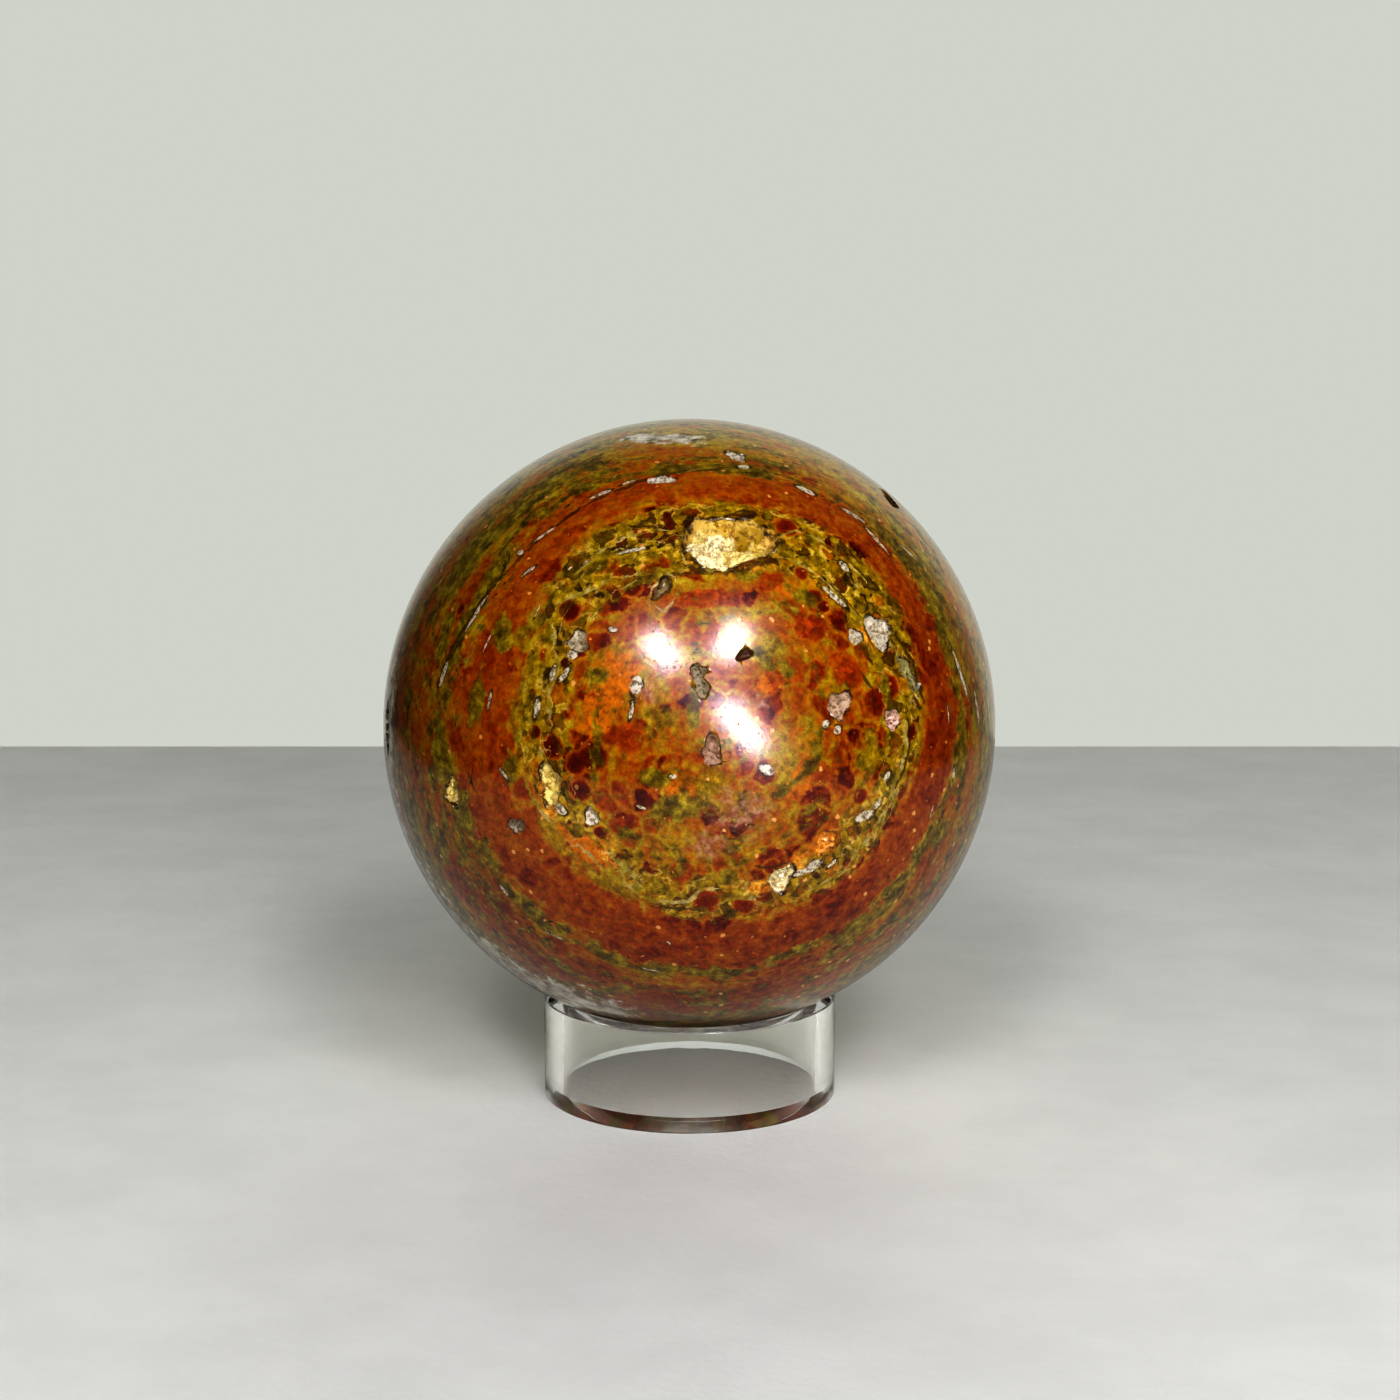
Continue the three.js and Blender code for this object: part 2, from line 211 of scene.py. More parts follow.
# Lenses of pale quartz that lie in the bands: east and up in degrees, length and width in mm, and turn.
LENSES = [
    (-46.5, 27, 4.4, 0.5, 72), (-37.6, 43.4, 3.2, 0.45, 50), (-41.6, 39.4, 0.9, 0.8, 0),
    (-27, 54, 2.6, 0.6, 38), (-20, 57.4, 2.0, 0.35, 35), (-36.6, 36, 1.8, 0.45, 50),
    (-31, 28.6, 2.2, 0.2, 80), (-41, 22, 2.5, 0.28, 75), (-51, 15.6, 3.0, 0.7, 80),
    (-37.6, 12.4, 2.4, 0.4, 85), (-27.3, 12, 2.0, 0.8, 85), (-25, 18, 1.8, 0.6, 80),
    (-22.6, 18, 2.0, 0.7, 60), (-21.5, 21.4, 1.2, 1.0, 0), (-9.2, 16.6, 1.3, 2.2, 0),
    (-9.8, 12.4, 2.2, 0.4, 80), (-33.6, 0, 1.6, 0.5, -50), (-37.6, -22.4, 1.6, 0.5, -60),
    (-28.6, -31.4, 2.4, 0.28, -25), (-4, -31, 0.8, 0.25, -50), (-8.6, -38.4, 2.0, 0.28, -15),
    (49, -9, 1.6, 0.3, 75), (55, -3, 1.5, 0.5, 80), (53.6, 8, 2.6, 0.3, 88), (60.6, 14, 6.0, 0.7, -78),
    (65.6, 7, 4.4, 0.6, -84), (50.7, 41.2, 3.6, 0.6, -75), (60, 38, 2.6, 0.45, -60),
    (48.4, 47.6, 3.0, 0.7, -50), (38, 54.6, 2.4, 0.8, -45), (21.4, 62, 1.4, 0.9, 0),
    (36, 37, 1.8, 0.9, -60), (30.8, 31.4, 3.2, 0.8, -50), (13.4, 2.2, 2.0, 1.0, -25),
    (24.4, 9.4, 1.0, 0.9, 0), (26.6, 8.2, 1.0, 0.9, 30), (22.8, -15.8, 2.2, 1.1, 40),
    (20.2, -16.9, 1.5, 0.8, 20), (32, -7.4, 2.4, 1.1, 15), (34.8, -5.6, 1.4, 0.8, 40),
    (26.6, -15.6, 1.4, 0.5, 45), (-22.4, -5.2, 1.8, 1.0, -40), (-2.6, 1.4, 0.8, 0.5, 0),
    (-8, -4, 1.2, 0.4, -20), (36.6, -0.8, 1.2, 0.7, 60), (-14.4, 26.2, 1.0, 0.6, 0),
    (19.4, 41.0, 1.4, 0.6, 0), (-13, 41.3, 3.2, 0.5, 18), (-26.4, 37.2, 0.9, 0.25, 45),
    (-23, 38.6, 1.0, 0.25, 50),
]

# Seams that run through the bands: the width in mm, and the places they pass through, east and up.
PALE_SEAMS = [
    (0.30, [(-24.5, 36.5), (-21, 40.5), (-16, 43.5), (-11, 45.2), (-6, 45.8)]),
    (0.42, [(-26, 31), (-21, 32.6), (-17, 35), (-13, 36.3), (-9, 36.5)]),
    (0.40, [(-26.5, 26), (-25.5, 22), (-24, 18.5), (-25.5, 14), (-24.5, 10)]),
    (0.36, [(43.4, 11.5), (41.6, 8.5), (41, 3), (38.5, -2), (36.6, -7), (33, -12), (29.3, -17),
            (24.5, -19.8)]),
    (0.22, [(39.6, -3.5), (37.8, -8), (34, -13)]),
    (0.60, [(40.8, 22.2), (42.3, 19.8), (43.2, 16.5), (44.8, 13.4)]),
    (0.36, [(-20, -10.5), (-16, -15), (-11, -19), (-7, -21.6), (-2, -22), (0.8, -21), (2.2, -19.4),
            (4.4, -19.2)]),
    (0.30, [(5.2, -22.5), (8, -21.3), (11.5, -21.2), (14, -22.6)]),
    (0.30, [(-29.5, 0.5), (-27.5, -4), (-24, -8.5), (-20.5, -11.5)]),
    (0.32, [(17.6, 40.4), (23, 39.2), (27.5, 36.5), (30.5, 33.5), (33.5, 29.5), (36.5, 25.5)]),
    (0.26, [(21, 43.4), (27, 45.2), (33, 42.5), (37, 38.5), (40, 34)]),
    (0.50, [(-13.2, -13.2), (-11.5, -14.5), (-9.8, -17), (-9, -19)]),
    (0.26, [(-3, 60.5), (3, 61.5), (9, 62.3)]),
    (0.26, [(-0.8, 39.2), (-1.6, 41.4), (-1.4, 43.6), (0.2, 45.8)]),
    (0.24, [(-8, 31.4), (-7.4, 34), (-4.4, 36.6), (-2.6, 36.0)]),
    (0.24, [(-6.4, 30.4), (-4.6, 29.2), (-2.6, 32), (-1.6, 35.0)]),
]
# Dark seams, in the same columns, with two painted shadow lines along the big druse's bottom and top rims.
DARK_SEAMS_AND_SHADOW_LINES = [
    (0.45, [(-52, 13), (-50.4, 20), (-47.9, 25), (-45.5, 31), (-42.4, 36), (-38.5, 42), (-34, 47.2),
            (-28, 52.2), (-20, 56), (-10, 60), (0, 61), (12, 61.6)]),
    # Painted shadow under the big druse's bottom rim.
    (0.55, [(1, 38.0), (5, 36.9), (10, 37), (15, 38.4), (19, 39.2)]),
    (0.50, [(-4, 43.4), (-7, 46.6), (-13, 46.6)]),
    # Painted shadow along the big druse's top rim.
    (0.20, [(11, 49.3), (17, 48.9), (21, 49.8)]),
    (0.70, [(43.4, 22.8), (45.6, 18), (46.4, 12.5)]),
    (0.30, [(-24, 12), (-24, 8), (-22.5, 5)]),
    (0.22, [(-22.9, 3), (-21.9, -1), (-20.9, -4.4)]),
    (0.35, [(-19.5, 41.5), (-15, 41.6), (-10.5, 43.4)]),
    (0.30, [(29.5, 35.4), (32.5, 31.5), (35.5, 27.5), (36.6, 22)]),
    (0.30, [(42, 10), (42, 4), (40, -1)]),
    (0.35, [(-6, -22.9), (-1, -23.2), (2, -23.6)]),
    (0.30, [(33.2, 16.6), (34.8, 14.4), (34.4, 11)]),
    (0.25, [(12.4, -15.2), (15.4, -15.4), (17.6, -14.6)]),
]

# A small pit's rim is an ellipse that swells and shrinks by these shares, three and five times in its
# round. Every rim has nicks, and every floor is uneven, by a share of the distance and of the depth.
RIM_THREES, RIM_FIVES = 0.12, 0.08
DRUSE_NICKS, PIT_NICKS = 0.05, 0.16
FLOOR_UNEVEN = 0.22

# The quartz points: how far out in a pit they stand, how much they lean inward and stray, and how thick
# they are and how long their prism is as shares of their length.
POINTS_REACH = 0.94
POINT_LEAN, POINT_STRAY = 0.5, 1.1
POINT_THICKNESS, POINT_PRISM = 0.42, 0.55
GOLDEN_ANGLE = math.pi * (3 - math.sqrt(5))

# The cosine of the angle within which a place on the ball can be in a pit or an oval.
NEAR = 0.95

# The stone's streaks run this much slower along the bands than across them.
ALONG_SHARE = 0.27


def linear(code):
    """An sRGB hex colour as linear red, green, blue and alpha."""
    parts = [int(code[i:i + 2], 16) / 255 for i in (1, 3, 5)]
    return tuple(p / 12.92 if p <= 0.04045 else ((p + 0.055) / 1.055) ** 2.4 for p in parts) + (1.0,)


def add(tree, kind, *inputs, out=0, stops=None, **settings):
    """Add a node with its settings and a ramp's colour stops, and give one output. Its inputs are values
    or links, in order or by socket in a dict. An operation's name, such as MULTIPLY, makes a Math node."""
    if kind.isupper():
        kind, settings["operation"] = "Math", kind
    made = tree.nodes.new("ShaderNode" + kind)
    for name, value in settings.items():
        setattr(made, name, value)
    if stops:
        ramp = made.color_ramp.elements
        for place, code in stops[2:]:
            ramp.new(place)
        for element, (place, code) in zip(ramp, stops):
            element.position = place
            element.color = linear(code)
    sockets = inputs[0] if inputs and isinstance(inputs[0], dict) else dict(enumerate(inputs))
    for key, value in sockets.items():
        if isinstance(value, bpy.types.NodeSocket):
            tree.links.new(value, made.inputs[key])
        else:
            made.inputs[key].default_value = value
    return made.outputs[out]


def put(name, data):
    """A new object in the scene."""
    made = bpy.data.objects.new(name, data)
    bpy.context.scene.collection.objects.link(made)
    return made


def new_material(name):
    material = bpy.data.materials.new(name)
    material.use_nodes = True
    shader = material.node_tree.nodes["Principled BSDF"]
    return material, material.node_tree, shader


def set_sockets(shader, values):
    """Set the shader's own sockets, or link what varies over the surface."""
    for key, value in values.items():
        if isinstance(value, bpy.types.NodeSocket):
            shader.id_data.links.new(value, shader.inputs[key])
        else:
            shader.inputs[key].default_value = value


def mixed(tree, share, first, second, blend="MIX"):
    """A colour with a share of a second one laid over it. Each is a hex value or a link."""
    first, second = (linear(colour) if isinstance(colour, str) else colour for colour in (first, second))
    return add(tree, "Mix", {0: share, 6: first, 7: second}, out=2, data_type="RGBA", blend_type=blend)


def place_in_mm(tree, centre=(0, 0, 0)):
    """The place in a piece, from its centre, in mm."""
    place = add(tree, "VectorMath", add(tree, "TexCoord", out="Object"), tuple(centre), operation="SUBTRACT")
    return add(tree, "VectorMath", {0: place, "Scale": 1 / MM}, operation="SCALE")


# Directions on the ball

def outward(east, up):
    east, up = math.radians(east), math.radians(up)
    return Vector((math.sin(east) * math.cos(up), -math.cos(east) * math.cos(up), math.sin(up)))


def ball_axes(east, up, turn=0.0):
    """East, up and outward at a place on the ball, turned anticlockwise as seen from outside."""
    out = outward(east, up)
    eastward = Vector((math.cos(math.radians(east)), math.sin(math.radians(east)), 0))
    upward = out.cross(eastward)
    swing = Matrix.Rotation(math.radians(turn), 3, out)
    return swing @ eastward, swing @ upward, out


# The ball's mesh

def around(values, angle):
    """A value from a list that stands evenly round a full turn."""
    step = 2 * math.pi / len(values)
    place = (angle / step) % len(values)
    first = np.floor(place).astype(int) % len(values)
    following = (first + 1) % len(values)
    values = np.asarray(values, float)
    return values[first] + (values[following] - values[first]) * (place - np.floor(place))


def rim_distance(pit, angle):
    """How far a pit's rim lies from its middle, in mm: an uneven ellipse, or the druse's own outline."""
    east, up, width, height = pit[:4]
    if pit is DRUSE:
        rim = around(DRUSE_RIM, angle)
    else:
        swell = 1 + RIM_THREES * np.sin(3 * angle + east) + RIM_FIVES * np.sin(5 * angle + up)
        rim = swell / np.hypot(2 * np.cos(angle) / width, 2 * np.sin(angle) / height)
    places = [Vector((1.6 * math.cos(a), 1.6 * math.sin(a), east)) for a in np.arange(48) * math.pi / 24]
    nicks = [noise.noise(place) + 0.5 * noise.noise(place * 2.7) for place in places]
    return rim * (1 + (DRUSE_NICKS if pit is DRUSE else PIT_NICKS) * around(nicks, angle))


def floor_depth(pit, right, high, rim):
    """How deep a pit is at a place in it, in mm, and nought outside it."""
    reach = np.hypot(right, high) / rim
    depth = pit[4] * np.sqrt(np.clip(1 - reach ** 2, 0, None))
    depth = depth * (1 + FLOOR_UNEVEN * np.sin(4.1 * right + high) * np.sin(3.7 * high - right + pit[0]))
    if pit is DRUSE:
        for x, y, radius, height in DRUSE_MOUNDS:
            lump = np.clip(1 - ((right - x) ** 2 + (high - y) ** 2) / radius ** 2, 0, None)
            depth = depth - np.minimum(height * lump, 0.75 * depth)
    return depth


def druse_colour(pit, right, high):
    """The stain of the druse at a place in a pit."""
    code = pit[8]
    if pit is DRUSE:
        for x, y, radius, stain in DRUSE_STAINS:
            if math.hypot(right - x, high - y) < radius:
                code = stain
    return linear(code)


def refine(mesh, ovals, cuts, margin=1.15):
    """Split the faces under each oval more finely. An oval is a pit, or east, up, width, height and turn."""
    near = set()
    for oval in ovals:
        right, high, out = ball_axes(oval[0], oval[1], oval[5] if len(oval) > 5 else oval[4])
        close = [vertex for vertex in mesh.verts if vertex.co.normalized().dot(out) > NEAR]
        places = np.array([tuple(vertex.co.normalized() * (BALL_RADIUS / MM)) for vertex in close])
        x, y = places @ np.array(right), places @ np.array(high)
        if len(oval) > 5:
            reach = np.hypot(x, y) / (rim_distance(oval, np.arctan2(y, x)) + 0.35)
        else:
            reach = np.hypot(x / (oval[2] / 2 + 0.4), y / (oval[3] / 2 + 0.4))
        near.update(vertex for vertex, share in zip(close, reach) if share < margin)
    edges = [edge for edge in mesh.edges if edge.verts[0] in near and edge.verts[1] in near]
    bmesh.ops.subdivide_edges(mesh, edges=edges, cuts=cuts, use_grid_fill=True)
    bmesh.ops.triangulate(mesh, faces=mesh.faces)
    for vertex in mesh.verts:
        vertex.co = vertex.co.normalized() * BALL_RADIUS


def quartz_point(pit, index, count):
    """One quartz point in a pit: where it stands, which way it leans, and its length in mm."""
    length = pit[7]
    reach = POINTS_REACH * math.sqrt((index + 0.5) / count)
    angle = index * GOLDEN_ANGLE + math.radians(pit[0])
    rim = rim_distance(pit, np.float64(angle))
    x, y = reach * rim * math.cos(angle), reach * rim * math.sin(angle)
    spots = [Vector((x * 3.1 + shift, y * 3.1, index * 0.37)) for shift in (0, 17.3, 41.9)]
    stray = Vector([noise.noise(spot) for spot in spots])
    own_length = length * (0.7 + 0.7 * abs(stray.z))
    sunk = floor_depth(pit, x, y, rim) + 0.5 * own_length
    lean = Vector((-POINT_LEAN * reach * math.cos(angle) + POINT_STRAY * stray.x,
                   -POINT_LEAN * reach * math.sin(angle) + POINT_STRAY * stray.y, 1)).normalized()
    return Vector((x, y, -sunk)), lean, own_length


def crystal_shape(length):
    """A six-sided quartz point along +Z: a short prism and its pyramid, in mm."""
    radius = POINT_THICKNESS * length
    corners = [(radius * math.cos(k * math.pi / 3), radius * math.sin(k * math.pi / 3), level)
               for level in (0, POINT_PRISM * length) for k in range(6)]
    corners.append((0.1 * radius, 0.05 * radius, length))
    faces = [(k, (k + 1) % 6, 6 + (k + 1) % 6, 6 + k) for k in range(6)]
    faces += [(6 + k, 6 + (k + 1) % 6, 12) for k in range(6)]
    faces.append(tuple(range(5, -1, -1)))
    return corners, faces


def crystals_mesh(pits):
    """All the quartz points that line the vugs, and the druse colour of each corner."""
    corners, faces, tints = [], [], []
    for pit in pits:
        right, high, out = ball_axes(pit[0], pit[1], pit[5])
        axes = Matrix((right, high, out)).transposed()
        for index in range(pit[6]):
            root, lean, length = quartz_point(pit, index, pit[6])
            if pit is DRUSE and (root.y > 0.3 or root.x > 1.4) and noise.noise(root * 0.9) < 0.3:
                continue
            swing = Vector((0, 0, 1)).rotation_difference(lean) @ Quaternion((0, 0, 1), index * 1.3)
            tint = druse_colour(pit, root.x, root.y)
            first = len(corners)
            shape, sides = crystal_shape(length)
            for corner in shape:
                place = root + swing @ Vector(corner)
                level = math.hypot(place.x, place.y)
                drop = BALL_RADIUS / MM - math.sqrt((BALL_RADIUS / MM) ** 2 - level ** 2)
                place.z = min(place.z, -0.03) - drop
                corners.append(axes @ (place * MM) + out * BALL_RADIUS)
                tints.append(tint)
            faces += [tuple(first + k for k in side) for side in sides]
    return corners, faces, tints


def layer_angle(directions):
    """The even angle from the bull's-eye at each direction, with the bands' uneven ends taken out."""
    eye, right, high = (np.array(v) for v in (EYE, EYE_RIGHT, EYE_UP))
    angle = np.degrees(np.arccos(np.clip(directions @ eye, -1, 1)))
    way = np.arctan2(directions @ high, directions @ right)
    even, real = [np.zeros(len(angle))], [np.zeros(len(angle))]
    for nominal, ends in (CELLS_BEGIN, CELLS_END, LINE_BEGIN):
        even.append(np.full(len(angle), float(nominal)))
        real.append(around(ends, way))
    even.append(np.full(len(angle), 180.0))
    real.append(np.full(len(angle), 180.0))
    layer = np.zeros(len(angle))
    for k in range(1, len(real)):
        share = np.clip((angle - real[k - 1]) / (real[k] - real[k - 1]), 0, 1)
        layer = np.where(angle >= real[k - 1], even[k - 1] + share * (even[k] - even[k - 1]), layer)
    return layer


def oval_reach(directions, ovals):
    """How far out of the nearest oval a place is: nought at its middle and one at its edge."""
    nearest = np.full(len(directions), 3.0)
    for east, up, width, height, *turn in ovals:
        right, high, out = (np.array(v) for v in ball_axes(east, up, *turn))
        x = directions @ right * BALL_RADIUS / MM
        y = directions @ high * BALL_RADIUS / MM
        reach = np.where(directions @ out > 0, np.hypot(2 * x / width, 2 * y / height), 3.0)
        nearest = np.minimum(nearest, reach)
    return nearest


def orb_ovals(kind=None):
    """The orbs of one jasper, or all of them, as ovals."""
    return [(east, up, 2 * radius, 2 * radius, 0)
            for jasper, east, up, radius in ORBS if kind in (None, jasper)]


def seam_offsets(directions, seams):
    """For each place: how far it is off the nearest seam's middle, in half widths and with a sign for its
    side, and how far it is from that seam's nearest point."""
    signed = np.full(len(directions), 99.0)
    for width, places in seams:
        points = [np.array(outward(east, up)) for east, up in places]
        for start, end in zip(points, points[1:]):
            side = np.cross(start, end)
            length = math.asin(np.linalg.norm(side))
            side = side / np.linalg.norm(side)
            along = np.arctan2(directions @ np.cross(side, start), directions @ start)
            across = np.arcsin(directions @ side)
            to_ends = np.minimum(np.arccos(np.clip(directions @ start, -1, 1)),
                                 np.arccos(np.clip(directions @ end, -1, 1)))
            off = np.where((along > 0) & (along < length), across, np.copysign(to_ends, across))
            off = off * BALL_RADIUS / MM / (width / 2)
            signed = np.where(np.abs(off) < np.abs(signed), off, signed)
    return np.clip(signed, -12, 12), np.clip(np.abs(signed), 0, 12)


def give_attribute(mesh, name, values, kind="FLOAT"):
    attribute = mesh.attributes.new(name, kind, "POINT")
    field = "color" if kind == "FLOAT_COLOR" else "value"
    attribute.data.foreach_set(field, np.asarray(values, np.float32).ravel())


def sink_pits(directions, pits):
    """For each direction: the depth of the pit there in mm, how far out of the nearest pit it lies, and
    the stain of that pit's druse."""
    depth = np.zeros(len(directions))
    reach = np.full(len(directions), 3.0)
    tint = np.tile(linear(UMBER), (len(directions), 1))
    for pit in pits:
        right, high, out = (np.array(v) for v in ball_axes(pit[0], pit[1], pit[5]))
        near = np.flatnonzero(directions @ out > NEAR)
        x, y = directions[near] @ right * BALL_RADIUS / MM, directions[near] @ high * BALL_RADIUS / MM
        rim = rim_distance(pit, np.arctan2(y, x))
        own = np.hypot(x, y) / rim
        depth[near] = np.maximum(depth[near], floor_depth(pit, x, y, rim))
        for k, a, b, share in zip(near, x, y, own):
            if share < min(reach[k], 1.6):
                tint[k] = druse_colour(pit, a, b)
        reach[near] = np.minimum(reach[near], own)
    return depth, reach, tint


def build_ball():
    """The ball: a fine sphere with its vugs sunk into it, and the quartz points that line them."""
    pits = [DRUSE] + PITS
    shape = bmesh.new()
    bmesh.ops.create_icosphere(shape, subdivisions=7, radius=BALL_RADIUS)
    refine(shape, pits, cuts=3)
    refine(shape, LENSES, cuts=2)
    refine(shape, orb_ovals(), cuts=1)
    skin = bpy.data.meshes.new("jasper_skin")
    shape.to_mesh(skin)
    shape.free()

    places = np.empty(len(skin.vertices) * 3)
    skin.vertices.foreach_get("co", places)
    directions = places.reshape(-1, 3) / BALL_RADIUS
    depth, reach, tint = sink_pits(directions, pits)

    points, point_faces, point_tints = crystals_mesh(pits)
    faces = [tuple(face.vertices) for face in skin.polygons]
    skin_count = len(directions)
    sunk = directions * (BALL_RADIUS - depth * MM)[:, None]
    corners = [tuple(p) for p in sunk] + [tuple(p) for p in points]
    faces += [tuple(skin_count + k for k in face) for face in point_faces]

    mesh = bpy.data.meshes.new("jasper_ball")
    mesh.from_pydata(corners, [], faces)
    mesh.transform(Matrix.Translation(BALL_CENTRE))
    mesh.polygons.foreach_set("use_smooth", np.arange(len(faces)) < len(skin.polygons))
    mesh.polygons.foreach_set("material_index", (np.arange(len(faces)) >= len(skin.polygons)).astype(int))

    point_directions = np.array([tuple(Vector(p).normalized()) for p in points])
    everywhere = np.vstack([directions, point_directions])
    give_attribute(mesh, "layer", layer_angle(everywhere))
    for name, patches in PATCHES.items():
        give_attribute(mesh, name, oval_reach(everywhere, patches))
    for jasper in sorted({orb[0] for orb in ORBS}):
        give_attribute(mesh, jasper + "_orb", oval_reach(everywhere, orb_ovals(jasper)))
    give_attribute(mesh, "any_orb", oval_reach(everywhere, orb_ovals()))
    give_attribute(mesh, "lens", oval_reach(everywhere, LENSES))
    for name, seams in [("pale_seam", PALE_SEAMS), ("dark_seam_and_shadow", DARK_SEAMS_AND_SHADOW_LINES)]:
        offset, distance = seam_offsets(everywhere, seams)
        give_attribute(mesh, name, offset)
        give_attribute(mesh, name + "_distance", distance)
    give_attribute(mesh, "pit_reach", np.concatenate([reach, np.zeros(len(points))]))
    give_attribute(mesh, "druse_tint", np.vstack([tint, np.array(point_tints)]), "FLOAT_COLOR")
    mesh.set_sharp_from_angle(angle=math.radians(40))

    ball = put("jasper_ball", mesh)
    mesh.materials.append(polished_jasper())
    mesh.materials.append(drusy_quartz())
    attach(ball, "root")
    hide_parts("jasper_sphere")


# The stone's colours. Every scale below is a number of features to the millimetre.

def stone_fields(tree):
    """The place in the stone in mm, the same place drawn out along the bands, and the way across them."""
    place = place_in_mm(tree, BALL_CENTRE)
    layer = add(tree, "Attribute", attribute_name="layer", out="Fac")
    return {
        "place": place,
        "layer": layer,
        "along": add(tree, "VectorMath", {0: place, "Scale": ALONG_SHARE}, operation="SCALE"),
        "across": add(tree, "MULTIPLY", layer, math.radians(BALL_RADIUS / MM)),
        "wobble": swing(tree, grains(tree, place, 1.0, 4.0, 0.65), 0.8),
    }


def stepped(tree, value, low, high):
    """Nought below low and one above high, smoothly."""
    return add(tree, "MapRange", value, low, high, interpolation_type="SMOOTHSTEP")


def toward(tree, share, value, goal):
    """A value moved by a share of the way to a goal."""
    return add(tree, "Mix", {0: share, 2: value, 3: goal}, data_type="FLOAT")


def highest(tree, values):
    total = values[0]
    for value in values[1:]:
        total = add(tree, "MAXIMUM", total, value)
    return total


def grains(tree, place, scale, detail=5.0, roughness=0.6):
    """Noise that is alike in every direction."""
    return add(tree, "TexNoise", {"Vector": place, "Scale": scale, "Detail": detail, "Roughness": roughness})


def streaks(tree, stone, scale, detail=5.0, roughness=0.6, distortion=0.0):
    """Noise drawn out along the bands."""
    return add(tree, "TexNoise", {
        "Vector": stone["along"], "W": stone["across"], "Scale": scale, "Detail": detail,
        "Roughness": roughness, "Distortion": distortion}, noise_dimensions="4D")


def stirred(tree, place, scale, amount):
    """The place moved about by a noise, so that what is drawn there has uneven edges."""
    stir = add(tree, "TexNoise", {"Vector": place, "Scale": scale, "Detail": 3.0}, out="Color")
    parts = add(tree, "SeparateColor", stir).node.outputs
    stir = add(tree, "CombineXYZ", *parts[:3])
    stir = add(tree, "VectorMath", stir, (0.5, 0.5, 0.5), operation="SUBTRACT")
    stir = add(tree, "VectorMath", {0: stir, "Scale": amount}, operation="SCALE")
    return add(tree, "VectorMath", place, stir, operation="ADD")


def swing(tree, noise_value, amount):
    """A noise as a swing to both sides of nought."""
    return add(tree, "MULTIPLY", add(tree, "SUBTRACT", noise_value, 0.5), amount)


def band(tree, layer, spans, soft=1.2):
    """One where the layer is in any of these spans of degrees, with soft ends."""
    return highest(tree, [
        add(tree, "MULTIPLY", stepped(tree, layer, low - soft, low + soft),
            stepped(tree, layer, high + soft, high - soft)) for low, high in spans])


def patch(tree, name, rag, soft=0.30):
    """One inside the patches of a name, with ragged edges."""
    reach = add(tree, "Attribute", attribute_name=name, out="Fac")
    return stepped(tree, add(tree, "SUBTRACT", reach, rag), 0.95, 0.95 - soft)


def ragged_reach(tree, name, wobble):
    """How far out of the nearest orb, lens or pit of a name a place is, with a wobble in its outline."""
    reach = add(tree, "Attribute", attribute_name=name, out="Fac")
    return add(tree, "ADD", reach, wobble)


def lobes(tree, place, scale):
    """Rounded lobes that grew against each other: a number for each one, and the way in from its edge."""
    own = {"Vector": stirred(tree, place, 0.45, 2.0), "Scale": scale, "Randomness": 1.0}
    number = add(tree, "SeparateColor", {0: add(tree, "TexVoronoi", own, out="Color")})
    return number, add(tree, "TexVoronoi", own, out="Distance", feature="DISTANCE_TO_EDGE")


def with_orbs(tree, index, reach, share, goal):
    """The iron index with orbs in it: a thin pale rim, and a body that is darker at its heart."""
    rim = add(tree, "MULTIPLY", stepped(tree, reach, 1.32, 1.12), share)
    body = add(tree, "MULTIPLY", stepped(tree, reach, 1.12, 0.72), share)
    heart = add(tree, "MULTIPLY", stepped(tree, reach, 0.95, 0.0), share)
    index = toward(tree, add(tree, "MULTIPLY", rim, 0.6), index, 0.70)
    index = toward(tree, body, index, goal)
    return add(tree, "SUBTRACT", index, add(tree, "MULTIPLY", heart, 0.08))


def warped_layer(tree, stone):
    """The layer with the wander of real bands."""
    layer = add(tree, "ADD", stone["layer"], swing(tree, streaks(tree, stone, 0.16, 5.0, 0.6), 14.0))
    return add(tree, "ADD", layer, swing(tree, grains(tree, stone["place"], 0.6, 4.0), 6.0))


def bull_eye_zones(tree, layer):
    """The zones round the bull's-eye, and their fellows on the far side of the ball."""
    return {
        "cells": band(tree, layer, [(27, 39), (122, 136), (158, 164)], 1.4),
        "ring": band(tree, layer, [(41, 50), (84, 96), (104, 120)], 1.2),
        "line": band(tree, layer, [(51, 53.5), (72, 75), (100, 103), (141, 145)], 1.0),
        "outer": band(tree, layer, [(55, 71), (76, 83), (147, 156)], 1.6),
    }


def slope(tree, stone, right, high):
    """A slow change over the ball, so much to its right and so much to its top."""
    way = (right * MM / BALL_RADIUS, 0, high * MM / BALL_RADIUS)
    return add(tree, "VectorMath", stone["place"], way, out="Value", operation="DOT_PRODUCT")


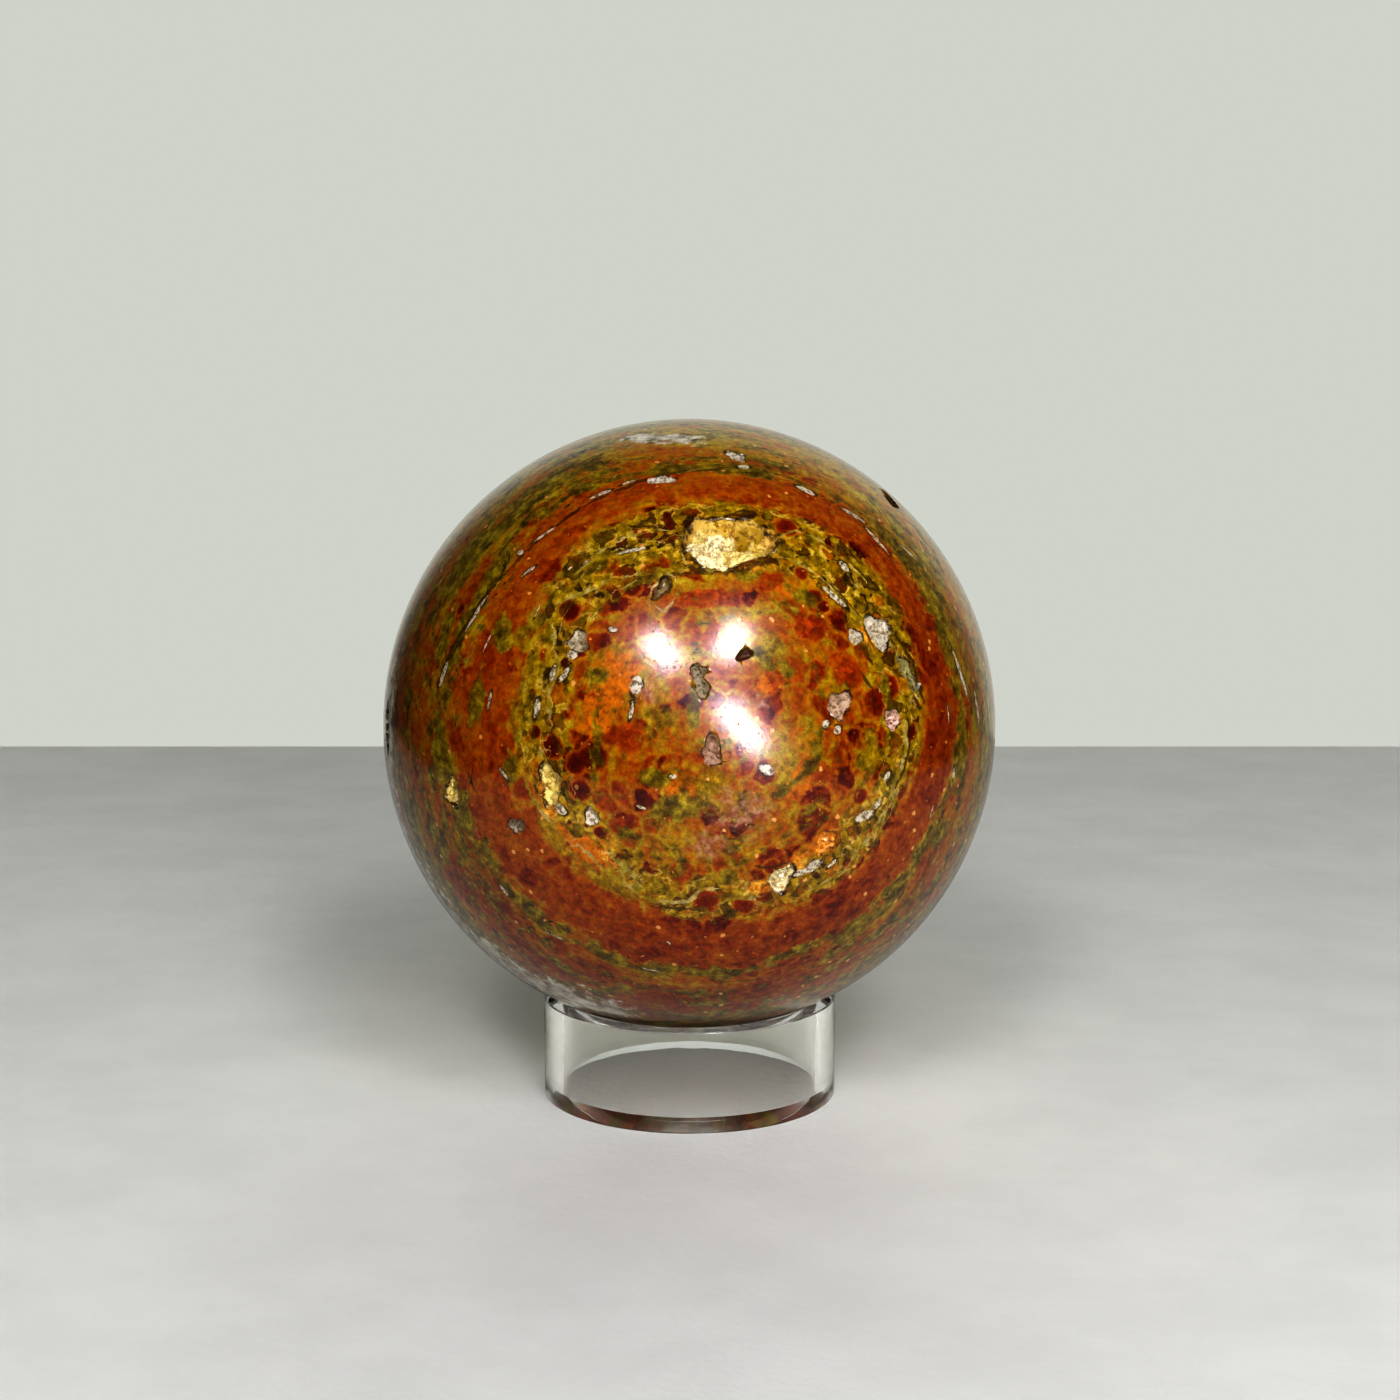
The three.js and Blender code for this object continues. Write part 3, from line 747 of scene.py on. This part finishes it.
def iron_index(tree, stone, zones, rag):
    """How the jasper is stained, from 0, maroon, through red, rust, honey and mustard, to 1, straw."""
    place = stone["place"]
    number, inward = lobes(tree, place, 0.42)
    inward = add(tree, "ADD", inward, swing(tree, grains(tree, place, 1.2, 4.0, 0.7), 0.25))
    core = add(tree, "ADD", add(tree, "MULTIPLY", number, 0.60), 0.08)
    index = toward(tree, add(tree, "MULTIPLY", stepped(tree, inward, 0.17, 0.03), 0.8), core, 0.68)
    ring = add(tree, "ADD", 0.29, slope(tree, stone, -0.06, 0.11))
    outer = add(tree, "ADD", 0.46, slope(tree, stone, 0.04, 0.24))
    for here, goal in [(zones["ring"], ring), (zones["line"], 0.46), (zones["outer"], outer)]:
        index = toward(tree, add(tree, "MULTIPLY", here, 0.76), index, goal)

    drawn_out = streaks(tree, stone, 0.42, 5.0, 0.62, 0.6)
    index = add(tree, "ADD", index, add(tree, "MULTIPLY", swing(tree, drawn_out, 1.1), toward(
        tree, zones["ring"], 1.0, 0.5)))
    index = add(tree, "ADD", index, swing(tree, grains(tree, place, 0.9, 4.0, 0.6), 0.7))
    for name, goal, share in [("maroon", 0.04, 0.85), ("orange", 0.50, 0.8), ("scarlet", 0.22, 0.8)]:
        local = add(tree, "ADD", goal, swing(tree, grains(tree, place, 0.8, 3.0), 0.7))
        here = add(tree, "MULTIPLY", patch(tree, name, rag), share)
        index = toward(tree, here, index, local)
    for name, goal in [("maroon", 0.06), ("umber", 0.16), ("olive", 0.45), ("scarlet", 0.26)]:
        index = with_orbs(tree, index, ragged_reach(tree, name + "_orb", stone["wobble"]), 0.9, goal)
    return add(tree, "ADD", index, swing(tree, grains(tree, place, 2.4, 3.0), 0.22))


def iron_colour(tree, index):
    """The colours of the iron-stained jaspers in their order."""
    return add(tree, "ValToRGB", index, stops=[
        (0.00, "#421103"), (0.14, "#6a2003"), (0.27, "#813a03"), (0.40, "#8f4e07"), (0.52, "#945d0a"),
        (0.63, "#966f0c"), (0.74, "#997f12"), (0.86, "#a39026"), (1.00, "#b0a252")])


def olive_share(tree, stone, zones, rag):
    """Where the jasper is green-brown rather than iron-stained."""
    mottle = add(tree, "Mix", {
        0: 0.4, 2: streaks(tree, stone, 0.40, 6.0, 0.66, 0.8), 3: grains(tree, stone["place"], 0.6, 5.0)},
        data_type="FLOAT")
    level = 0.535
    for name, goal in [("cells", 0.52), ("ring", 0.63), ("line", 0.44), ("outer", 0.49)]:
        level = toward(tree, zones[name], level, goal)
    here = stepped(tree, add(tree, "SUBTRACT", mottle, level), -0.02, 0.05)
    orbs = stepped(tree, ragged_reach(tree, "olive_orb", stone["wobble"]), 1.04, 0.88)
    return highest(tree, [here, orbs, patch(tree, "olive", rag)])


def olive_colour(tree, place):
    return add(tree, "ValToRGB", grains(tree, place, 0.7, 5.0, 0.65), stops=[
        (0.30, "#302605"), (0.42, "#54470c"), (0.52, "#756614"), (0.62, "#93841f"), (0.76, "#a89b42")])


def mustard_colour(tree, place):
    return add(tree, "ValToRGB", grains(tree, place, 1.0, 5.0, 0.68), stops=[
        (0.30, "#4c3e08"), (0.42, "#705c0b"), (0.54, "#90780e"), (0.66, "#a9921f"), (0.80, "#c2b160")])


def cell_colour(tree, stone, mustard, rich):
    """Dark cells, some with a dark outline and a fine pale rim, set in mustard that is wider where rich."""
    place = stone["place"]
    number, inward = lobes(tree, place, 0.41)
    inward = add(tree, "ADD", inward, swing(tree, grains(tree, place, 0.8, 5.0, 0.68), 0.45))
    stain = add(tree, "ADD", number, swing(tree, grains(tree, place, 1.1, 4.0, 0.7), 1.1))
    body = add(tree, "ValToRGB", stain, stops=[
        (0.00, "#471804"), (0.20, "#6d3405"), (0.38, "#4b3c08"), (0.55, "#6a590d"), (0.70, "#855008"),
        (0.86, "#9a650b"), (1.00, "#a78214")])
    some = grains(tree, place, 0.5, 2.0)
    rim = add(tree, "MULTIPLY", stepped(tree, inward, 0.08, 0.13), stepped(tree, some, 0.42, 0.56))
    colour = mixed(tree, add(tree, "MULTIPLY", rim, 0.75), mustard, "#bda650")
    outline = add(tree, "MULTIPLY", stepped(tree, inward, 0.11, 0.16), stepped(tree, some, 0.60, 0.46))
    colour = mixed(tree, outline, colour, "#33240a")
    inward = add(tree, "SUBTRACT", inward, add(tree, "MULTIPLY", rich, 0.10))
    return mixed(tree, stepped(tree, inward, 0.13, 0.26), colour, body)


def seam_here(tree, stone, name, ragged):
    """One on the seams of a name, thinning and thickening as it goes."""
    off = add(tree, "Attribute", attribute_name=name, out="Fac")
    off = add(tree, "ABSOLUTE", add(tree, "ADD", off, ragged))
    width = add(tree, "MapRange", grains(tree, stone["place"], 0.7, 3.0), 0.38, 0.6, 0.25, 1.5)
    near = stepped(tree, add(tree, "Attribute", attribute_name=name + "_distance", out="Fac"), 5.0, 3.0)
    return add(tree, "MULTIPLY", stepped(tree, add(tree, "SUBTRACT", off, width), 0.35, -0.35), near)


def fine_seams(tree, place, index, layer, zones):
    """Where hair-thin pale seams run: along the mustard's edges in the cells, and along the bands' edges."""
    seams = []
    for value, step, width, scale, low in [(index, 0.66, 0.018, 0.5, 0.50), (layer, 39.8, 0.30, 0.35, 0.50),
                                           (layer, 28.2, 0.25, 0.4, 0.54), (layer, 50.8, 0.20, 0.4, 0.52),
                                           (layer, 33.5, 0.22, 0.4, 0.54)]:
        off = add(tree, "ABSOLUTE", add(tree, "SUBTRACT", value, step))
        runs = stepped(tree, grains(tree, place, scale, 2.0), low, low + 0.06)
        seams.append(add(tree, "MULTIPLY", stepped(tree, off, width, width * 0.3), runs))
    near = add(tree, "MAXIMUM", highest(tree, [zones["cells"], zones["line"]]), 0.25)
    return add(tree, "MULTIPLY", highest(tree, seams), near)


def flecks(tree, stone, colour, scale, size, code, share):
    """Small round flecks, on a share of the places where one could be."""
    fleck = {"Vector": stirred(tree, stone["place"], 2.0, 0.5), "Scale": scale, "Randomness": 1.0}
    near = add(tree, "TexVoronoi", fleck, out="Distance")
    chosen = add(tree, "SeparateColor", {0: add(tree, "TexVoronoi", fleck, out="Color")})
    near = add(tree, "ADD", near, add(tree, "MULTIPLY", chosen, 0.12))
    here = stepped(tree, near, size * 1.15, size * 0.75)
    return mixed(tree, add(tree, "MULTIPLY", here, stepped(tree, chosen, share, share - 0.02)), colour, code)


def grey_quartz(tree, place):
    """Cloudy grey and white quartz, the stone's clearest part."""
    return add(tree, "ValToRGB", grains(tree, place, 0.7, 7.0, 0.68), stops=[
        (0.32, "#5d5542"), (0.43, "#968e7a"), (0.54, "#c4bdac"), (0.66, "#e2dccf")])


def gold_colour(tree, place):
    return add(tree, "ValToRGB", grains(tree, place, 1.1, 6.0, 0.72), stops=[
        (0.34, "#5a3a08"), (0.43, "#a8680f"), (0.50, "#c48a22"), (0.58, "#d4ae50"), (0.68, "#e2d498")])


def cells_share(tree, stone, zones, rag):
    """Where the dark cells stand: in their zone, but neither on the smooth patches nor on the orbs."""
    cells = add(tree, "ADD", zones["cells"], add(tree, "MULTIPLY", rag, 1.4))
    cells = add(tree, "ADD", cells, slope(tree, stone, 0.0, 0.18))
    cells = add(tree, "MULTIPLY", stepped(tree, cells, 0.40, 1.05), 0.92)
    bare = add(tree, "SUBTRACT", 1.0, patch(tree, "smooth", add(tree, "MULTIPLY", rag, 0.4)))
    beside_orbs = stepped(tree, ragged_reach(tree, "any_orb", stone["wobble"]), 1.0, 1.2)
    return add(tree, "MULTIPLY", cells, add(tree, "MULTIPLY", bare, beside_orbs))


def jasper_kinds(tree, stone, index, zones, rag):
    """The jaspers of the ball: iron-stained, with a glow in places, olive, mustard, in cells and golden."""
    place = stone["place"]
    colour = iron_colour(tree, index)
    for name, scale, low, high, share, code in [("scarlet", 0.9, 0.46, 0.62, 0.7, "#a5530f"),
                                                ("orange", 0.8, 0.34, 0.52, 0.85, "#b4700c")]:
        glow = stepped(tree, grains(tree, place, scale, 2.0), low, high)
        glow = add(tree, "MULTIPLY", patch(tree, name, rag), glow)
        colour = mixed(tree, add(tree, "MULTIPLY", glow, share), colour, code)
    olive = add(tree, "MULTIPLY", olive_share(tree, stone, zones, rag), 0.92)
    colour = mixed(tree, olive, colour, olive_colour(tree, place))
    mustard = mustard_colour(tree, place)
    rich = patch(tree, "mustard", rag, 0.5)
    colour = mixed(tree, add(tree, "MULTIPLY", rich, 0.8), colour, mustard)
    cells = cells_share(tree, stone, zones, rag)
    colour = mixed(tree, cells, colour, cell_colour(tree, stone, mustard, rich))
    golden = add(tree, "MULTIPLY", patch(tree, "gold", rag, 0.5), 0.9)
    return mixed(tree, golden, colour, gold_colour(tree, place))


def with_seams(tree, stone, colour, index, layer, zones):
    """A colour with the dark and the pale seams in it, and the painted shadow lines at the big druse's rims.
    """
    place = stone["place"]
    ragged = swing(tree, grains(tree, place, 0.9, 4.0, 0.65), 6.0)
    dark = add(tree, "MULTIPLY", seam_here(tree, stone, "dark_seam_and_shadow", ragged), 0.75)
    colour = mixed(tree, dark, colour, "#40280a")
    pale = mixed(tree, stepped(tree, grains(tree, place, 0.8), 0.38, 0.66), "#87771a", "#a89b6c")
    seams = highest(tree, [seam_here(tree, stone, "pale_seam", ragged),
                           fine_seams(tree, place, index, layer, zones)])
    return mixed(tree, add(tree, "MULTIPLY", seams, 0.85), colour, pale)


def toned_with_painted_top_light(tree, stone, colour, layer):
    """A colour made lighter and darker in fine grains, a little lighter outside the core, and with painted
    light from above.
    """
    shade = add(tree, "MapRange", grains(tree, stone["place"], 1.5, 7.0, 0.72), 0.3, 0.7, 0.50, 1.44)
    shade = add(tree, "ADD", shade, add(tree, "MULTIPLY", stepped(tree, layer, 20, 32), 0.12))
    # Painted light from above: the colour is made lighter toward the top of the ball.
    shade = add(tree, "ADD", shade, slope(tree, stone, 0.0, 0.14))
    return add(tree, "HueSaturation", {"Value": shade, "Color": colour})


def with_rosy_and_reflection_haze(tree, place, colour, rag):
    """A colour under a rosy, cloudy haze: partly the core's chalcedony and partly painted reflection."""
    rosy = patch(tree, "rose", add(tree, "MULTIPLY", rag, 0.6), 0.85)
    clouds = stepped(tree, grains(tree, place, 1.3, 7.0, 0.7), 0.36, 0.58)
    rosy = add(tree, "MULTIPLY", add(tree, "MULTIPLY", rosy, 0.9), clouds)
    tints = stepped(tree, grains(tree, place, 1.2), 0.35, 0.65)
    return mixed(tree, rosy, colour, mixed(tree, tints, "#824a38", "#b08c70"))


def with_lenses(tree, stone, colour):
    """A colour with the pale quartz lenses in it, some of them with a dark flank."""
    place = stone["place"]
    lens = ragged_reach(tree, "lens", add(tree, "MULTIPLY", stone["wobble"], 1.8))
    some = stepped(tree, grains(tree, place, 0.9), 0.42, 0.6)
    colour = mixed(tree, add(tree, "MULTIPLY", stepped(tree, lens, 1.5, 1.1), some), colour, "#3f2d10")
    sugar = stepped(tree, grains(tree, place, 2.2, 4.0, 0.75), 0.38, 0.58)
    return mixed(tree, stepped(tree, lens, 1.05, 0.75), colour, mixed(tree, sugar, "#6d6044", "#c6bda8"))


def with_fissures(tree, stone, colour, layer):
    """A colour with dark hair cracks in it, which follow the outer bands."""
    off = add(tree, "ABSOLUTE", swing(tree, streaks(tree, stone, 0.3, 4.0, 0.5, 0.4), 1.0))
    some = stepped(tree, grains(tree, stone["place"], 0.25), 0.50, 0.58)
    fissure = add(tree, "MULTIPLY", stepped(tree, off, 0.006, 0.002), some)
    fissure = add(tree, "MULTIPLY", fissure, stepped(tree, layer, 44, 50))
    return mixed(tree, fissure, colour, "#140d04")


def jasper_colour(tree, stone):
    """The whole stone's colour: the jaspers, their seams, painted light from above, a rosy haze that is
    partly painted reflection, flecks, lenses, fissures and quartz.
    """
    place = stone["place"]
    layer = warped_layer(tree, stone)
    zones = bull_eye_zones(tree, layer)
    rag = swing(tree, grains(tree, place, 0.7, 4.0), 2.0)
    index = iron_index(tree, stone, zones, rag)
    colour = jasper_kinds(tree, stone, index, zones, rag)
    # The dark seams carry the painted shadow lines at the big druse's rims.
    colour = with_seams(tree, stone, colour, index, layer, zones)
    colour = toned_with_painted_top_light(tree, stone, colour, layer)
    # A rosy haze that is partly painted reflection.
    colour = with_rosy_and_reflection_haze(tree, place, colour, rag)
    colour = flecks(tree, stone, colour, 0.62, 0.17, "#c89a5e", 0.26)
    colour = flecks(tree, stone, colour, 1.25, 0.18, "#b07a3c", 0.12)
    colour = with_lenses(tree, stone, colour)
    colour = with_fissures(tree, stone, colour, layer)
    finer = add(tree, "ADD", rag, swing(tree, grains(tree, place, 1.6, 6.0, 0.7), 1.2))
    quartz = add(tree, "MULTIPLY", patch(tree, "quartz", finer, 0.45), 0.82)
    return mixed(tree, quartz, colour, grey_quartz(tree, place))


def tiny_pits(tree, place):
    """Pin-holes of 0.1 to 0.2 mm that polishing leaves in the softer jasper."""
    specks = stepped(tree, grains(tree, place, 2.6, 3.0, 0.7), 0.655, 0.70)
    return add(tree, "MULTIPLY", specks, stepped(tree, grains(tree, place, 0.3), 0.44, 0.56))


def polished_jasper():
    """Orbicular jasper, ground and polished: a glassy skin over a softer gleam, dull in the vugs."""
    material, tree, shader = new_material("polished orbicular jasper")
    stone = stone_fields(tree)
    place = stone["place"]
    colour = jasper_colour(tree, stone)
    holes = tiny_pits(tree, place)
    # The pin-holes are painted dark as well as sunk by the bump: a painted shade in them.
    colour = mixed(tree, add(tree, "MULTIPLY", holes, 0.7), colour, "#1c1005")

    reach = ragged_reach(tree, "pit_reach", swing(tree, grains(tree, place, 1.8, 4.0, 0.7), 0.5))
    outline = add(tree, "MULTIPLY", stepped(tree, reach, 1.16, 1.04), stepped(
        tree, grains(tree, place, 0.7), 0.40, 0.58))
    colour = mixed(tree, outline, colour, "#3c260a")
    in_pit = stepped(tree, reach, 1.0, 0.88)
    tint = add(tree, "Attribute", attribute_name="druse_tint", out="Color")
    sugar = stepped(tree, grains(tree, place, 1.5, 6.0, 0.72), 0.36, 0.52)
    druse = mixed(tree, sugar, mixed(tree, 0.7, tint, "#7a5a22", "MULTIPLY"), tint)
    colour = mixed(tree, in_pit, colour, druse)

    relief = add(tree, "MULTIPLY", holes, -0.5)
    crust = add(tree, "MULTIPLY", grains(tree, place, 1.8, 5.0, 0.7), in_pit)
    relief = add(tree, "ADD", relief, crust)
    relief = add(tree, "ADD", relief, add(tree, "MULTIPLY", grains(tree, place, 2.4, 4.0, 0.65), 0.05))
    bump = add(tree, "Bump", {"Height": relief, "Strength": 0.7, "Distance": 0.3 * MM})
    set_sockets(shader, {
        "Base Color": colour,
        "Roughness": add(tree, "MapRange", {0: in_pit, 3: 0.30, 4: 0.42}),
        "IOR": 1.54,
        "Specular IOR Level": 0.3,
        "Coat Weight": 1.0,
        "Coat Roughness": 0.05,
        "Coat IOR": 1.45,
        "Normal": bump,
        "Coat Normal": bump,
    })
    return material


def drusy_quartz():
    """Sugary quartz points: glassy faces, stained cream to grey by what the vug was lined with."""
    material, tree, shader = new_material("drusy quartz points")
    place = stone_fields(tree)["place"]
    tint = add(tree, "Attribute", attribute_name="druse_tint", out="Color")
    stain = stepped(tree, grains(tree, place, 1.4, 4.0), 0.34, 0.58)
    set_sockets(shader, {
        "Base Color": mixed(tree, stain, mixed(tree, 0.8, tint, "#a5802c", "MULTIPLY"), tint),
        "Roughness": add(tree, "MapRange", {0: stain, 3: 0.30, 4: 0.14}),
        "IOR": 1.54,
    })
    return material


# The ring

def ring_section():
    """The ring's section in metres: foot, outer wall, rim, bore and bevel, with its edges just broken."""
    inner = RING_RADIUS - RING_WALL
    outer, rim = RING_RADIUS - BROKEN_EDGE, RING_HEIGHT - BROKEN_EDGE
    points = [(inner + BEVEL_WIDTH, 0), (outer, 0)]
    for x, z, start in [(outer, BROKEN_EDGE, -90), (outer, rim, 0), (inner + BROKEN_EDGE, rim, 90)]:
        for step in range(4):
            angle = math.radians(start + 30 * step)
            points.append((x + BROKEN_EDGE * math.cos(angle), z + BROKEN_EDGE * math.sin(angle)))
    points.append((inner, BEVEL_HEIGHT))
    return points


def build_ring():
    """The ring of clear tube that the ball rests on."""
    section = ring_section()
    count = len(section)
    corners, faces = [], []
    for turn in range(RING_SEGMENTS):
        angle = 2 * math.pi * turn / RING_SEGMENTS
        corners += [(r * math.cos(angle), r * math.sin(angle), z) for r, z in section]
        here, following = turn * count, (turn + 1) % RING_SEGMENTS * count
        for k in range(count):
            after = (k + 1) % count
            faces.append((here + k, following + k, following + after, here + after))
    mesh = bpy.data.meshes.new("clear_ring")
    mesh.from_pydata(corners, [], faces)
    shape = bmesh.new()
    shape.from_mesh(mesh)
    bmesh.ops.remove_doubles(shape, verts=shape.verts, dist=1e-7)
    bmesh.ops.recalc_face_normals(shape, faces=shape.faces)
    shape.to_mesh(mesh)
    shape.free()
    mesh.polygons.foreach_set("use_smooth", np.ones(len(mesh.polygons), bool))
    mesh.set_sharp_from_angle(angle=math.radians(10))
    mesh.materials.append(clear_acrylic())
    ring = put("clear_ring", mesh)
    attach(ring, "root")
    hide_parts("ring_stand")


def clear_acrylic():
    """Cast acrylic tube, flame polished: clear, with the faint waves that the flame leaves."""
    material, tree, shader = new_material("clear cast acrylic")
    place = place_in_mm(tree)
    waves = grains(tree, place, 0.25, 2.0)
    bump = add(tree, "Bump", {"Height": waves, "Strength": 0.15, "Distance": 0.1 * MM})
    set_sockets(shader, {
        "Base Color": (1, 1, 1, 1),
        "Roughness": 0.0,
        "IOR": 1.49,
        "Transmission Weight": 1.0,
        "Normal": bump,
    })
    return material


# The camera, the floor and the lights

def aim_camera():
    camera = put("camera", bpy.data.cameras.new("camera"))
    reach = CAMERA_REACH * BALL_RADIUS
    camera.location = BALL_CENTRE + Vector((
        CAMERA_ASIDE, -reach * math.cos(CAMERA_ABOVE), reach * math.sin(CAMERA_ABOVE)))
    camera.rotation_euler = (math.pi / 2 - CAMERA_TILT, 0, 0)
    camera.data.lens = LENS_MM
    camera.data.sensor_width = SENSOR_MM
    bpy.context.scene.camera = camera


def seen_straight(tree):
    """One for what the camera sees itself or through the clear ring, and nought for what is mirrored."""
    path = add(tree, "LightPath").node.outputs
    through = add(tree, "GREATER_THAN", path["Transmission Depth"], 0.5)
    return add(tree, "MAXIMUM", path["Is Camera Ray"], through)


def lay_floor():
    """A pale, faintly woven table cloth, with a faint glow for the camera, as the photo's is paler than
    lamps on this side of the ball alone would make it."""
    mesh = bpy.data.meshes.new("floor")
    side = FLOOR_HALF
    corners = [(-side, -side, 0), (side, -side, 0), (side, side, 0), (-side, side, 0)]
    mesh.from_pydata(corners, [], [(0, 1, 2, 3)])
    floor = put("floor", mesh)
    material, tree, shader = new_material("pale table cloth")
    place = place_in_mm(tree)
    cloud = grains(tree, place, 0.05, 4.0)
    weave = grains(tree, place, 0.8, 3.0)
    colour = mixed(tree, stepped(tree, cloud, 0.3, 0.7), "#d0d1c8", "#d6d7ce")
    bump = add(tree, "Bump", {"Height": weave, "Strength": 0.25, "Distance": 0.3 * MM})
    set_sockets(shader, {
        "Base Color": colour,
        "Roughness": 0.7,
        "Specular IOR Level": 0.08,
        "Normal": bump,
        "Emission Color": linear("#eef0ee"),
        "Emission Strength": add(tree, "MULTIPLY", seen_straight(tree), FLOOR_GLOW),
    })
    mesh.materials.append(material)


def hang_light(name, east, up, width, height, roll, watts):
    """A soft box that faces the ball's middle: a bright middle in a wide, dim glow."""
    light = bpy.data.lights.new(name, "AREA")
    light.shape = "RECTANGLE"
    light.size, light.size_y = width, height
    light.energy = watts
    light.use_nodes = True
    tree = light.node_tree
    place = add(tree, "NewGeometry", out="Parametric")
    place = add(tree, "VectorMath", place, (0.5, 0.5, 0), operation="SUBTRACT")
    place = add(tree, "VectorMath", place, operation="ABSOLUTE")
    across = add(tree, "SeparateXYZ", place, out="X")
    along = add(tree, "SeparateXYZ", place, out="Y")
    middle = add(tree, "MULTIPLY", stepped(tree, across, 0.20, 0.06), stepped(tree, along, 0.22, 0.07))
    glow = add(tree, "MULTIPLY", stepped(tree, across, 0.5, 0.05), stepped(tree, along, 0.5, 0.05))
    strength = add(tree, "ADD", middle, add(tree, "MULTIPLY", glow, 0.17))
    tree.links.new(strength, tree.nodes["Emission"].inputs["Strength"])
    tree.links.new(mixed(tree, middle, "#e9e5ff", "#ffffff"), tree.nodes["Emission"].inputs["Color"])
    lamp = put(name, light)
    out = outward(east, up)
    lamp.location = BALL_CENTRE + out * LIGHT_REACH
    lamp.rotation_mode = "QUATERNION"
    lamp.rotation_quaternion = out.to_track_quat("Z", "Y") @ Quaternion((0, 0, 1), math.radians(roll))


def light_scene():
    """Three soft boxes on the camera's side, and a room that is pale behind the ball and dim before it."""
    for light in LIGHTS:
        hang_light(*light)
    world = bpy.data.worlds.new("pale room")
    world.use_nodes = True
    tree = world.node_tree
    way = add(tree, "TexCoord", out="Generated")
    way = add(tree, "VectorMath", way, PALE_SIDE, out="Value", operation="DOT_PRODUCT")
    room = add(tree, "ValToRGB", way, stops=[
        (0.35, "#1c1c1a"), (0.55, "#30302e"), (0.70, "#444541"), (0.80, "#767772"), (0.89, "#acada7"),
        (0.97, "#abaca6")])
    straight = seen_straight(tree)
    tree.links.new(mixed(tree, straight, room, "#afb1ac"), tree.nodes["Background"].inputs["Color"])

    # The pale side lights more than it is mirrored, so that the ball's back isn't dark.
    mirrored = add(tree, "LightPath", out="Is Glossy Ray")
    lit = add(tree, "SUBTRACT", 1.0, add(tree, "MAXIMUM", straight, mirrored))
    fill = add(tree, "MULTIPLY", add(tree, "MULTIPLY", stepped(tree, way, 0.45, 0.95), lit), BACK_FILL)
    tree.links.new(add(tree, "ADD", fill, 1.0), tree.nodes["Background"].inputs["Strength"])
    bpy.context.scene.world = world
    bpy.context.scene.view_settings.view_transform = "Standard"
    bpy.context.scene.view_settings.look = "Very High Contrast"
    bpy.context.scene.view_settings.gamma = 0.9


aim_camera()
lay_floor()
light_scene()
build_ball()
build_ring()
